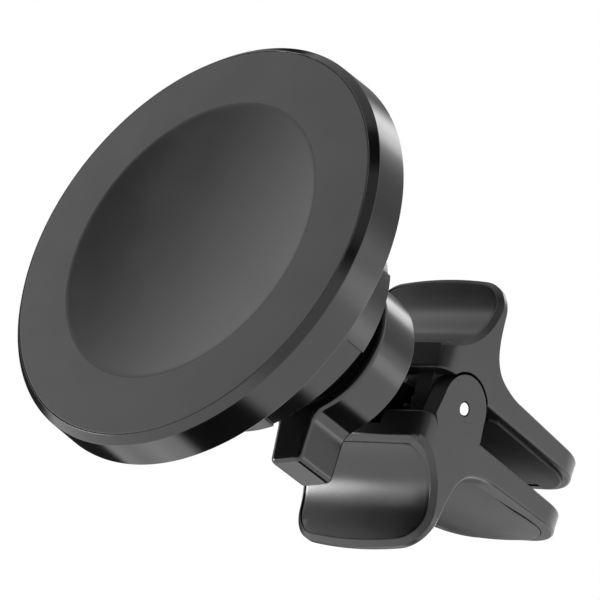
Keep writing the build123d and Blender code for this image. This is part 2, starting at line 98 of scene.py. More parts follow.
class Graph:
    """A node tree that is built by expressions."""

    def __init__(self, tree: bpy.types.NodeTree) -> None:
        """Empty the tree that is to be filled."""
        self.tree = tree
        tree.nodes.clear()

    def add(self, kind: str, settings: dict, sockets: dict, output: Any = 0) -> Value | None:
        """Add a node, with its settings first and its inputs after.

        Args:
            kind: The node's type name.
            settings: Node properties, such as a Math node's operation.
            sockets: Input name or number to a number, a tuple or a Value.
            output: Name or number of the output to return.

        Returns:
            The chosen output, or None for a node that has no outputs.
        """
        node = self.tree.nodes.new(kind)
        for key, setting in settings.items():
            setattr(node, key, setting)
        for key, given in sockets.items():
            if isinstance(given, Value):
                self.tree.links.new(given.socket, node.inputs[key])
            else:
                node.inputs[key].default_value = given
        return Value(self, node.outputs[output]) if node.outputs else None

    def place(self) -> Value:
        """Object coordinates of the point being shaded."""
        return self.add("ShaderNodeTexCoord", {}, {}, "Object")

    def noise(self, place: Value, size_mm: float, detail: float = 2.0) -> Value:
        """Noise from 0 to 1 with blotches of one size and octaves of finer detail."""
        sockets = {"Vector": place, "Scale": 1.0 / (size_mm * MM), "Detail": detail}
        return self.add("ShaderNodeTexNoise", {"noise_dimensions": "3D"}, sockets, "Fac")

    def ramp(self, value: Any, low: float, high: float, to_low: float, to_high: float) -> Value:
        """Smooth ramp that is held at both ends.

        Args:
            value: The value to map.
            low: Where the ramp starts.
            high: Where it ends.
            to_low: Result at and below low.
            to_high: Result at and above high.

        Returns:
            The mapped value.
        """
        limits = {"From Min": low, "From Max": high, "To Min": to_low, "To Max": to_high}
        settings = {"interpolation_type": "SMOOTHSTEP", "clamp": True}
        return self.add("ShaderNodeMapRange", settings, {"Value": value, **limits})

    def blend(self, share: Any, first: Any, second: Any) -> Value:
        """Colour that goes from first at a share of 0 to second at 1."""
        return self.add("ShaderNodeMix", {"data_type": "RGBA"}, {0: share, 6: first, 7: second}, 2)

    def bump(self, height: Value, depth_mm: float) -> Value:
        """Normal of a surface with a fine relief, from its height of 0 to 1 and its depth."""
        sockets = {"Height": height, "Distance": depth_mm * MM, "Strength": 1.0}
        return self.add("ShaderNodeBump", {}, sockets)


# --- finishes


def grey(level: float, tint: float = 0.0) -> tuple[float, float, float, float]:
    """Linear near-neutral colour, in which blue exceeds red by the share of tint."""
    return (level * (1 - tint / 2), level, level * (1 + tint / 2), 1.0)


def closed(holder: bpy.types.Material, graph: Graph, sockets: dict) -> bpy.types.Material:
    """Close a material with its surface shader.

    Args:
        holder: The material.
        graph: Its graph.
        sockets: Inputs of the surface shader.

    Returns:
        The finished material.
    """
    surface = graph.add("ShaderNodeBsdfPrincipled", {}, sockets)
    graph.add("ShaderNodeOutputMaterial", {}, {"Surface": surface})
    return holder


def new_material(name: str) -> tuple[bpy.types.Material, Graph]:
    """An empty material and its graph."""
    holder = bpy.data.materials.new(name)
    holder.use_nodes = True
    return holder, Graph(holder.node_tree)


@dataclass(frozen=True)
class Moulded:
    """A moulded plastic or rubber with spark-eroded grain, faint mottling and handling haze."""

    name: str
    level: float
    roughness: float
    grain_mm: float = 0.16
    grain_depth_mm: float = 0.002
    mottle: float = 0.12
    haze: float = 0.05
    specular: float = 0.5
    tint: float = 0.02
    polished_r: float = 0.0
    polished_level: float = 0.006
    polished_roughness: float = 0.2

    def polished(self, graph: Graph, place: Value) -> Value:
        """Mask of a smoother round zone about the Y axis.

        Args:
            graph: The material's graph.
            place: Object coordinates.

        Returns:
            1 inside the zone and 0 outside.
        """
        across = {0: place, 1: (1.0, 0.0, 1.0)}
        flat = graph.add("ShaderNodeVectorMath", {"operation": "MULTIPLY"}, across)
        away = graph.add("ShaderNodeVectorMath", {"operation": "LENGTH"}, {0: flat}, "Value")
        edge = self.polished_r * MM
        return graph.ramp(away, edge - POLISHED_EDGE * MM, edge, 1.0, 0.0)

    def material(self) -> bpy.types.Material:
        """Build the material.

        Returns:
            The material.
        """
        holder, graph = new_material(f"{self.name}_finish")
        place = graph.place()
        blotches = graph.noise(place, MOTTLE_MM, 3.0)
        fine = graph.noise(place, self.grain_mm, 2.0)
        pits = graph.noise(place, self.grain_mm * PITS_TO_GRAIN, 1.0)
        relief = fine * 0.7 + pits * 0.3
        shade = graph.blend(
            graph.ramp(blotches + (fine - 0.5) * 0.3, 0.35, 0.7, 0.0, 1.0),
            grey(self.level * (1 - self.mottle), self.tint),
            grey(self.level * (1 + self.mottle), self.tint),
        )
        dull = graph.ramp(graph.noise(place, HAZE_MM, 4.0), 0.4, 0.68, -self.haze, self.haze)
        roughness = dull + (relief * self.haze + (self.roughness - self.haze / 2))
        if self.polished_r:
            inside = self.polished(graph, place)
            shade = graph.blend(inside, shade, grey(self.polished_level, self.tint))
            roughness = roughness - inside * (self.roughness - self.polished_roughness)
        sockets = {
            "Base Color": shade,
            "Roughness": roughness,
            "Specular IOR Level": self.specular,
            "Normal": graph.bump(relief, self.grain_depth_mm),
        }
        return closed(holder, graph, sockets)


@dataclass(frozen=True)
class Metal:
    """A drawn, turned or plated metal with fine scratches along one axis."""

    name: str
    level: float
    roughness: float
    stretch: tuple[float, float, float]
    scratch_mm: float = 0.05
    scratch_depth_mm: float = 0.0006
    tint: float = 0.02

    def material(self) -> bpy.types.Material:
        """Build the material.

        Returns:
            The material.
        """
        holder, graph = new_material(f"{self.name}_finish")
        place = graph.place()
        stretched = {"Vector": place, "Scale": self.stretch}
        drawn = graph.add("ShaderNodeMapping", {"vector_type": "POINT"}, stretched)
        scratches = graph.noise(drawn, self.scratch_mm, 3.0)
        patches = graph.noise(place, METAL_PATCH_MM, 3.0)
        shade = graph.blend(
            graph.ramp(patches + (scratches - 0.5) * 0.4, 0.3, 0.75, 0.0, 1.0),
            grey(self.level * 0.85, self.tint),
            grey(self.level * 1.08, self.tint),
        )
        sockets = {
            "Base Color": shade,
            "Metallic": 1.0,
            "Roughness": scratches * 0.16 + (self.roughness - 0.08),
            "Normal": graph.bump(scratches, self.scratch_depth_mm),
        }
        return closed(holder, graph, sockets)


class Finish(Enum):
    """The finishes of the mount's pieces, each with its record slot as its value's name."""

    FACE_RUBBER = Moulded(
        "face_rubber", 0.014, 0.5, grain_mm=0.12, grain_depth_mm=0.001, haze=0.03, polished_r=20.15
    )
    RIM_GLOSS = Moulded("rim_gloss", 0.003, 0.14, grain_mm=0.3, grain_depth_mm=0.0002, haze=0.02)
    COVER_SATIN = Moulded("cover_satin", 0.004, 0.2, grain_depth_mm=0.0008, haze=0.03)
    SOCKET_PLASTIC = Moulded("socket_plastic", 0.003, 0.35, specular=0.2)
    NUT_GLOSS = Moulded("nut_gloss", 0.004, 0.17, grain_depth_mm=0.0005, haze=0.03)
    # Painted shade: the stud and stem block get a darker colour and a weak reflection that stand in
    # for the shade inside the clip.
    STUD_PLASTIC_PAINTED_SHADE = Moulded("stud_plastic", 0.002, 0.3, grain_depth_mm=0.0006, specular=0.12)
    JAW_SATIN = Moulded("jaw_satin", 0.01, 0.34, grain_depth_mm=0.0014)
    LEVER_GLOSS = Moulded(
        "lever_gloss", 0.004, 0.24, grain_mm=0.3, grain_depth_mm=0.0003, haze=0.03
    )
    PANEL_GLOSS = Moulded("panel_gloss", 0.008, 0.42, grain_depth_mm=0.001, specular=0.35)
    GRIP_RUBBER = Moulded(
        "grip_rubber", 0.006, 0.5, grain_mm=0.22, grain_depth_mm=0.004, specular=0.3
    )
    TRAY_PLASTIC = Moulded("tray_plastic", 0.03, 0.45)
    SEAT_PLASTIC = Moulded("seat_plastic", 0.04, 0.35)
    LINER_PLASTIC = Moulded("liner_plastic", 0.55, 0.4, tint=-0.06)
    ADHESIVE_FILM = Moulded("adhesive_film", 0.4, 0.5, tint=-0.1)
    MAGNET_NICKEL = Metal("magnet_nickel", 0.62, 0.2, (1.0, 1.0, 1.0))
    SHIELD_STEEL = Metal("shield_steel", 0.5, 0.35, (1.0, 1.0, 0.08))
    SCREW_STEEL = Metal("screw_steel", 0.6, 0.3, (1.0, 0.2, 1.0))
    PIN_STEEL = Metal("pin_steel", 0.88, 0.22, (1.0, 1.0, 1.0))
    SPRING_STEEL = Metal("spring_steel", 0.42, 0.3, (1.0, 1.0, 1.0))

    @property
    def slot(self) -> str:
        """Name of the record's material slot."""
        return self.value.name

    def material(self) -> bpy.types.Material:
        """The finish's material, made once."""
        made = bpy.data.materials.get(f"{self.slot}_finish")
        return made or self.value.material()


# --- modelling moves


class Cut(Enum):
    """How one solid changes another."""

    REMOVE = "DIFFERENCE"
    KEEP_SHARED = "INTERSECT"
    JOIN = "UNION"


class Turn(Enum):
    """The axis that a turned piece is turned about."""

    ABOUT_X = (1.0, 0.0, 0.0)
    ABOUT_Y = (0.0, 1.0, 0.0)

    def profile(self, outline: Sequence[Point]) -> list[Point]:
        """Points of a half section.

        Args:
            outline: Pairs of radius and place along the axis.

        Returns:
            The same points in space.
        """
        if self is Turn.ABOUT_X:
            return [(along, radius, 0.0) for radius, along in outline]
        return [(radius, along, 0.0) for radius, along in outline]


class Bench:
    """Modelling moves that the sub-assemblies share. Lengths are in millimetres."""

    @staticmethod
    def choose(piece: bpy.types.Object) -> None:
        """Make piece the only selected and active object."""
        bpy.ops.object.select_all(action="DESELECT")
        piece.select_set(True)
        bpy.context.view_layer.objects.active = piece

    @staticmethod
    def edit(piece: bpy.types.Object) -> None:
        """Go into edit mode on piece with everything selected."""
        Bench.choose(piece)
        bpy.ops.object.mode_set(mode="EDIT")
        bpy.ops.mesh.select_mode(type="VERT")
        bpy.ops.mesh.select_all(action="SELECT")

    @staticmethod
    def leave() -> None:
        """Leave edit mode with doubles merged and faces outward."""
        bpy.ops.mesh.select_all(action="SELECT")
        bpy.ops.mesh.remove_doubles(threshold=MERGE)
        bpy.ops.mesh.normals_make_consistent(inside=False)
        bpy.ops.object.mode_set(mode="OBJECT")

    @staticmethod
    def named(name: str) -> bpy.types.Object:
        """Name the object that was just added and put its place into its mesh."""
        piece = bpy.context.object
        piece.name = name
        piece.data.name = name
        bpy.ops.object.transform_apply(location=True, rotation=True, scale=True)
        return piece

    @staticmethod
    def chain(name: str, points: Sequence[Point]) -> bpy.types.Object:
        """Draw a line of edges by extruding one vertex from point to point.

        Args:
            name: The new object's name.
            points: The line's points.

        Returns:
            The object, left in edit mode.
        """
        bpy.ops.object.select_all(action="DESELECT")
        bpy.ops.mesh.primitive_plane_add(size=MM, location=Vector(points[0]) * MM)
        piece = Bench.named(name)
        Bench.edit(piece)
        bpy.ops.mesh.merge(type="CENTER")
        for here, there in zip(points, points[1:]):
            step = (Vector(there) - Vector(here)) * MM
            bpy.ops.mesh.extrude_vertices_move(TRANSFORM_OT_translate={"value": step})
        return piece

    @staticmethod
    def lathe(
        name: str, outline: Sequence[Point], turn: Turn = Turn.ABOUT_Y, steps: int = 192
    ) -> bpy.types.Object:
        """Turn a half section into a solid.

        Args:
            name: The piece's name.
            outline: Pairs of radius and place along the axis.
            turn: The axis.
            steps: Faces round the axis.

        Returns:
            The turned piece.
        """
        piece = Bench.chain(name, turn.profile(outline))
        bpy.ops.mesh.select_all(action="SELECT")
        bpy.ops.mesh.spin(steps=steps, angle=math.tau, center=(0, 0, 0), axis=turn.value)
        Bench.leave()
        return piece

    @staticmethod
    def slab(name: str, outline: Sequence[Point], depth: Point) -> bpy.types.Object:
        """Fill a flat outline and pull it into a solid.

        Args:
            name: The piece's name.
            outline: Corners in space, in order.
            depth: How far, and which way, the face is pulled.

        Returns:
            The solid.
        """
        piece = Bench.chain(name, [*outline, outline[0]])
        bpy.ops.mesh.select_all(action="SELECT")
        bpy.ops.mesh.remove_doubles(threshold=MERGE)
        bpy.ops.mesh.edge_face_add()
        bpy.ops.mesh.extrude_region_move(TRANSFORM_OT_translate={"value": Vector(depth) * MM})
        Bench.leave()
        return piece

    @staticmethod
    def apply(piece: bpy.types.Object, kind: str, **settings: Any) -> None:
        """Add a modifier and apply it.

        Args:
            piece: The piece to change.
            kind: The modifier's type.
            **settings: The modifier's settings.
        """
        Bench.choose(piece)
        bpy.ops.object.modifier_add(type=kind)
        modifier = piece.modifiers[-1]
        for key, setting in settings.items():
            setattr(modifier, key, setting)
        bpy.ops.object.modifier_apply(modifier=modifier.name)

    @staticmethod
    def combine(piece: bpy.types.Object, tool: bpy.types.Object, cut: Cut) -> None:
        """Cut, join or crop piece with tool, which is used up.

        Args:
            piece: The piece that stays.
            tool: The solid that is used up.
            cut: What the tool does.
        """
        Bench.apply(piece, "BOOLEAN", object=tool, operation=cut.value, solver="EXACT")
        bpy.data.objects.remove(tool)

    @staticmethod
    def soften(
        piece: bpy.types.Object, width: float, segments: int = 3, angle: float = 30.0
    ) -> None:
        """Round the edges that are sharper than angle.

        Args:
            piece: The piece to soften.
            width: Width of the rounding.
            segments: Faces across it.
            angle: Least angle of an edge, in degrees.
        """
        settings = {"width": width * MM, "segments": segments, "limit_method": "ANGLE"}
        Bench.apply(piece, "BEVEL", angle_limit=math.radians(angle), **settings)

    @staticmethod
    def bevel_where(
        piece: bpy.types.Object, low: Point, high: Point, width: float, segments: int
    ) -> None:
        """Bevel the sharp edges whose two ends lie in a box.

        Args:
            piece: The piece to shape.
            low: The box's lowest corner.
            high: The box's highest corner.
            width: Width of the bevel.
            segments: Faces across it.
        """
        Bench.choose(piece)
        near = 0.01
        ends = [
            all(a - near <= v / MM <= b + near for a, v, b in zip(low, vertex.co, high))
            for vertex in piece.data.vertices
        ]
        bpy.ops.object.mode_set(mode="EDIT")
        bpy.ops.mesh.select_mode(type="EDGE")
        bpy.ops.mesh.select_all(action="DESELECT")
        bpy.ops.object.mode_set(mode="OBJECT")
        for edge in piece.data.edges:
            edge.select = all(ends[end] for end in edge.vertices)
        bpy.ops.object.mode_set(mode="EDIT")
        bpy.ops.mesh.bevel(offset=width * MM, segments=segments)
        Bench.leave()

    @staticmethod
    def smooth(piece: bpy.types.Object, angle: float = 32.0) -> None:
        """Smooth shading that keeps sharp edges and flat faces.

        Args:
            piece: The piece to shade.
            angle: Least angle of an edge that stays sharp, in degrees.
        """
        Bench.choose(piece)
        sharp = math.radians(angle)
        bpy.ops.object.shade_smooth_by_angle(angle=sharp, keep_sharp_edges=False)
        Bench.apply(piece, "WEIGHTED_NORMAL", mode="FACE_AREA", weight=100, keep_sharp=True)

    @staticmethod
    def copy_node(node: str, name: str) -> bpy.types.Object:
        """A merged copy of a frame node, for a piece whose shape is already right.

        Args:
            node: The node's name.
            name: The new piece's name.

        Returns:
            The copy.
        """
        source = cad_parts[node]
        piece = bpy.data.objects.new(name, source.data.copy())
        bpy.context.scene.collection.objects.link(piece)
        piece.data.name = name
        Bench.choose(piece)
        bpy.ops.mesh.customdata_custom_splitnormals_clear()
        Bench.edit(piece)
        bpy.ops.mesh.remove_doubles(threshold=MERGE)
        bpy.ops.object.mode_set(mode="OBJECT")
        return piece

    @staticmethod
    def turned_copy(piece: bpy.types.Object, name: str) -> bpy.types.Object:
        """A copy of a finished piece, turned half a turn about the Y axis.

        Args:
            piece: The upper half's piece.
            name: The copy's name.

        Returns:
            The copy, with its place in its mesh.
        """
        copy = bpy.data.objects.new(name, piece.data.copy())
        bpy.context.scene.collection.objects.link(copy)
        copy.data.name = name
        copy.data.transform(Matrix.Rotation(math.pi, 4, "Y"))
        return copy


def dress(piece: bpy.types.Object, finish: Finish, body: str, *nodes: str) -> bpy.types.Object:
    """Give a piece its finish and its body.

    Args:
        piece: The finished mesh.
        finish: Its finish.
        body: The body it rides on.
        *nodes: The frame nodes it stands for.

    Returns:
        The piece.
    """
    piece.data.materials.clear()
    piece.data.materials.append(finish.material())
    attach(piece, body)
    if nodes:
        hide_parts(*nodes)
    log.info("%s: %d faces on %s", piece.name, len(piece.data.polygons), body)
    return piece


def arc(
    centre: Point, radius: float, start: float, end: float, steps: int
) -> list[tuple[float, float]]:
    """Points of a flat arc.

    Args:
        centre: The arc's centre.
        radius: Its radius.
        start: First angle, in degrees.
        end: Last angle, in degrees.
        steps: Number of stretches.

    Returns:
        Pairs of coordinates.
    """
    angles = [math.radians(start + (end - start) * step / steps) for step in range(steps + 1)]
    return [(centre[0] + radius * math.cos(a), centre[1] + radius * math.sin(a)) for a in angles]


def curve_through(knots: Sequence[Point], per_span: int) -> list[tuple[float, float]]:
    """Smooth curve through flat points.

    Args:
        knots: The points it passes through.
        per_span: Stretches between one point and the next.

    Returns:
        Points along the curve.
    """
    inner = [Vector(knot) for knot in knots]
    ends = [inner[0] * 2 - inner[1], *inner, inner[-1] * 2 - inner[-2]]
    found = []
    for before, here, there, after in zip(ends, ends[1:], ends[2:], ends[3:]):
        for step in range(per_span):
            t = step / per_span
            place = 0.5 * (
                2 * here
                + (there - before) * t
                + (2 * before - 5 * here + 4 * there - after) * t**2
                + (3 * here - before - 3 * there + after) * t**3
            )
            found.append(tuple(place))
    found.append(tuple(knots[-1]))
    return found


# --- head


@dataclass
class Disc:
    """The magnetic disc: soft face pad, glossy rim, and the layers that they hide."""

    face_y: float = -46.4
    face_r: float = 28.0
    rim_r: float = 29.0
    rim_rear_r: float = 29.3
    rim_bevel: float = 0.93
    depth: float = 5.9
    dish_r: float = 20.2
    dish_depth: float = 0.9
    rings: int = 28
    pad_t: float = 1.5
    film_t: float = 0.2
    wall_t: float = 0.8
    shell_wall: float = 1.3
    inner_r: float = 27.9

    def face_pad(self) -> None:
        """Soft pad with its shallow dish and a crisp dish edge."""
        shares = [step / self.rings for step in range(self.rings + 1)]
        dish = [(self.dish_r * t, self.face_y + self.dish_depth * (1 - t**2)) for t in shares]
        edge = [
            (self.inner_r - 0.2, self.face_y),
            (self.inner_r - 0.06, self.face_y + 0.05),
            (self.inner_r, self.face_y + 0.2),
            (self.inner_r, self.face_y + self.pad_t),
            (0, self.face_y + self.pad_t),
        ]
        pad = Bench.lathe("face_pad_skin", [*dish, *edge], steps=256)
        Bench.smooth(pad, 20)
        dress(pad, Finish.FACE_RUBBER, "head", "face_pad")

    def rim(self) -> None:
        """Glossy cup with its bevelled front lip and flared wall."""
        front = self.face_y + self.pad_t + self.film_t
        back = self.face_y + self.depth
        outline = [
            (0, front),
            (self.inner_r, front),
            (self.inner_r, self.face_y + 0.1),
            (self.face_r, self.face_y),
            (self.rim_r, self.face_y + self.rim_bevel),
            (self.rim_rear_r, back - 0.3),
            (self.rim_rear_r - 0.3, back),
            (self.rim_r - self.shell_wall, back),
            (self.rim_r - self.shell_wall, front + self.wall_t),
            (0, front + self.wall_t),
        ]
        rim = Bench.lathe("rim_cup", outline, steps=256)
        Bench.soften(rim, 0.1, 3, 12)
        Bench.smooth(rim)
        dress(rim, Finish.RIM_GLOSS, "head", "rim_shell")

    def build(self) -> None:
        """Build the disc's visible pieces."""
        self.face_pad()
        self.rim()


@dataclass
class Boss:
    """The rear cover with its hollow boss, and the threaded neck that comes out of it."""

    rim_back: float = -40.5
    back: float = -26.2
    boss_r: float = 17.2
    plate_r: float = 27.6
    plate_t: float = 1.0
    wall: float = 1.7
    neck_r: float = 9.3
    recess_depth: float = 0.75
    recess_shift: float = 5.0
    recess_arc: float = 52.0
    recess_start: float = 11.0
    recess_count: int = 4
    recess_steps: int = 20
    screw_circle: float = 12.0
    screw_r: float = 1.0
    screw_count: int = 3
    thread_pitch: float = 1.2
    thread_root: float = 8.9
    thread_steps: int = 72
    lead_in: float = 1.2
    socket_back: float = -12.8
    flange_r: float = 14.6
    flange_t: float = 2.0
    slot_count: int = 6
    slot_w: float = 1.2
    slot_front: float = -17.5
    seat_bore_r: float = 6.9
    seat_front: float = -25.5
    ball_y: float = -16.5
    cavity_r: float = 8.0

    def cover(self) -> None:
        """Plate and boss, with four shallow recesses between raised lands."""
        plate_front = self.rim_back - self.plate_t
        inner_r = self.boss_r - self.wall
        outline = [
            (self.plate_r, plate_front),
            (self.plate_r, self.rim_back),
            (self.boss_r, self.rim_back),
            (self.boss_r, self.back),
            (self.neck_r, self.back),
            (self.neck_r, self.back - self.wall),
            (inner_r, self.back - self.wall),
            (inner_r, plate_front),
            (self.plate_r, plate_front),
        ]
        cover = Bench.lathe("cover_with_boss", outline, steps=240)
        floor_r = self.boss_r - self.recess_depth + self.recess_shift
        half = math.radians(self.recess_arc / 2)
        for number in range(self.recess_count):
            middle = math.radians(45 + 360 / self.recess_count * number)
            inside = []
            for step in range(2 * self.recess_steps + 1):
                turn = half * (step / self.recess_steps - 1)
                across = self.recess_shift * math.sin(turn)
                reach = math.sqrt(floor_r**2 - across**2) - self.recess_shift * math.cos(turn)
                inside.append((reach * math.cos(middle + turn), reach * math.sin(middle + turn)))
            ends = (math.degrees(middle + half), math.degrees(middle - half))
            outside = arc((0, 0), self.boss_r + 1, *ends, self.recess_steps)
            corners = [(x, self.rim_back + self.recess_start, z) for x, z in inside + outside]
            cutter = Bench.slab("recess_cutter", corners, (0, self.back - self.rim_back, 0))
            Bench.combine(cover, cutter, Cut.REMOVE)
        for number in range(self.screw_count):
            x, z = arc((0, 0), self.screw_circle, 180 - 360 / self.screw_count * number, 0, 1)[0]
            hole = arc((x, z), self.screw_r, 0, 345, 23)
            corners = [(a, self.back - self.wall - 1, b) for a, b in hole]
            cutter = Bench.slab("screw_hole_cutter", corners, (0, self.wall + 2, 0))
            Bench.combine(cover, cutter, Cut.REMOVE)
        Bench.soften(cover, 0.28, 3, 35)
        Bench.smooth(cover)
        dress(cover, Finish.COVER_SATIN, "head", "back_cover")

    def thread(self) -> bpy.types.Object:
        """Helical ridge round the neck.

        Returns:
            The ridge, which is joined to the socket.
        """
        root, crest, half = self.thread_root - 0.15, self.neck_r, self.thread_pitch * 0.42
        start = self.back + 0.3
        turns = int((self.socket_back - self.lead_in - start) / self.thread_pitch)
        corners = [
            (root, start, 0),
            (crest, start + half * 0.75, 0),
            (crest, start + half * 1.25, 0),
            (root, start + half * 2, 0),
        ]
        ridge = Bench.chain("neck_thread", [*corners, corners[0]])
        bpy.ops.mesh.select_all(action="SELECT")
        bpy.ops.mesh.remove_doubles(threshold=MERGE)
        bpy.ops.object.mode_set(mode="OBJECT")
        Bench.apply(
            ridge,
            "SCREW",
            axis="Y",
            angle=math.tau * turns,
            screw_offset=self.thread_pitch * turns * MM,
            steps=self.thread_steps * turns,
            render_steps=self.thread_steps * turns,
        )
        Bench.edit(ridge)
        bpy.ops.mesh.remove_doubles(threshold=MERGE)
        bpy.ops.mesh.fill_holes(sides=len(corners))
        Bench.leave()
        return ridge

    def socket(self) -> None:
        """Flange, threaded neck, ball cavity and the slots that let the nut squeeze the ball."""
        flange_back = self.back - self.wall
        flange_front = flange_back - self.flange_t
        rim_angle = math.degrees(math.asin((self.socket_back - self.ball_y) / self.cavity_r))
        seat_angle = -math.degrees(math.acos(self.seat_bore_r / self.cavity_r))
        cavity = arc((0, self.ball_y), self.cavity_r, seat_angle, rim_angle, 24)
        outline = [
            (0, self.seat_front),
            (self.seat_bore_r, self.seat_front),
            *cavity,
            (self.neck_r - 0.8, self.socket_back),
            (self.thread_root, self.socket_back - self.lead_in),
            (self.thread_root, self.back - 0.1),
            (self.neck_r, self.back - 0.2),
            (self.neck_r, flange_back),
            (self.flange_r, flange_back),
            (self.flange_r, flange_front),
            (0, flange_front),
        ]
        socket = Bench.lathe("threaded_socket", outline, steps=144)
        Bench.combine(socket, self.thread(), Cut.JOIN)
        for number in range(self.slot_count):
            turn = Matrix.Rotation(math.tau * number / self.slot_count, 4, "Y")
            reach, side = self.neck_r + 1, self.slot_w / 2
            flat = [(0, -side), (reach, -side), (reach, side), (0, side)]
            corners = [turn @ Vector((x, self.slot_front, z)) for x, z in flat]
            cutter = Bench.slab("slot_cutter", corners, (0, self.socket_back - self.slot_front + 1, 0))
            Bench.combine(socket, cutter, Cut.REMOVE)
        Bench.smooth(socket)
        dress(socket, Finish.SOCKET_PLASTIC, "head", "ball_socket")

    def build(self) -> None:
        """Build the cover and the socket."""
        self.cover()
        self.socket()


@dataclass
class LockNut:
    """The ring nut with its two wings."""

    front: float = -19.05
    rear: float = -11.75
    outer_r: float = 11.3
    mouth_r: float = 9.9
    bore_r: float = 9.38
    exit_r: float = 7.4
    socket_back: float = -12.8
    tip_r: float = 17.9
    tip_half: float = 2.6
    base_half: float = 2.9
    fillet_r: float = 2.2
    corner_r: float = 0.9
    turn: float = -7.0
    front_bevel: float = 0.7
    rear_round: float = 0.5
    clearance: float = 0.15

    def outline(self) -> list[tuple[float, float]]:
        """Outline of the ring with both wings, each filleted into the ring.

        Returns:
            Pairs of x and z, in order round the nut.
        """
        centre_x = self.base_half + self.fillet_r
        centre_z = math.sqrt((self.outer_r + self.fillet_r) ** 2 - centre_x**2)
        lean = math.degrees(math.atan2(centre_z, centre_x))
        fillet = arc((centre_x, centre_z), self.fillet_r, 180 + lean, 180, 10)
        tip = arc((self.tip_half - self.corner_r, self.tip_r - self.corner_r), self.corner_r, 0, 90, 6)
        right = fillet + tip
        wing = right + [(-x, z) for x, z in reversed(right)]
        side = arc((0, 0), self.outer_r, 180 - lean, 180 + lean, 72)[1:-1]
        half = wing + side
        return half + [(-x, -z) for x, z in half]

    def build(self) -> None:
        """Pull the outline into a solid, chamfer it and turn out its bore."""
        turn = Matrix.Rotation(math.radians(self.turn), 4, "Y")
        corners = [turn @ Vector((x, self.front, z)) for x, z in self.outline()]
        nut = Bench.slab("winged_nut", corners, (0, self.rear - self.front, 0))
        reach = self.tip_r + 1
        ends = ((self.front, self.front_bevel, 5), (self.rear, self.rear_round, 4))
        for face, width, segments in ends:
            Bench.bevel_where(nut, (-reach, face, -reach), (reach, face, reach), width, segments)
        step_y = self.socket_back + self.clearance
        bore = [
            (0, self.front - 1),
            (self.mouth_r, self.front - 1),
            (self.mouth_r, self.front + 0.6),
            (self.bore_r, self.front + 1.2),
            (self.bore_r, self.socket_back - 1.1),
            (self.bore_r - 0.8, step_y),
            (self.exit_r, step_y),
            (self.exit_r, self.rear - 0.2),
            (self.exit_r + 1.2, self.rear + 1),
            (0, self.rear + 1),
        ]
        Bench.combine(nut, Bench.lathe("nut_bore", bore, steps=192), Cut.REMOVE)
        Bench.soften(nut, 0.08, 2, 38)
        Bench.smooth(nut)
        dress(nut, Finish.NUT_GLOSS, "lock_nut", "lock_nut")


# --- carrier


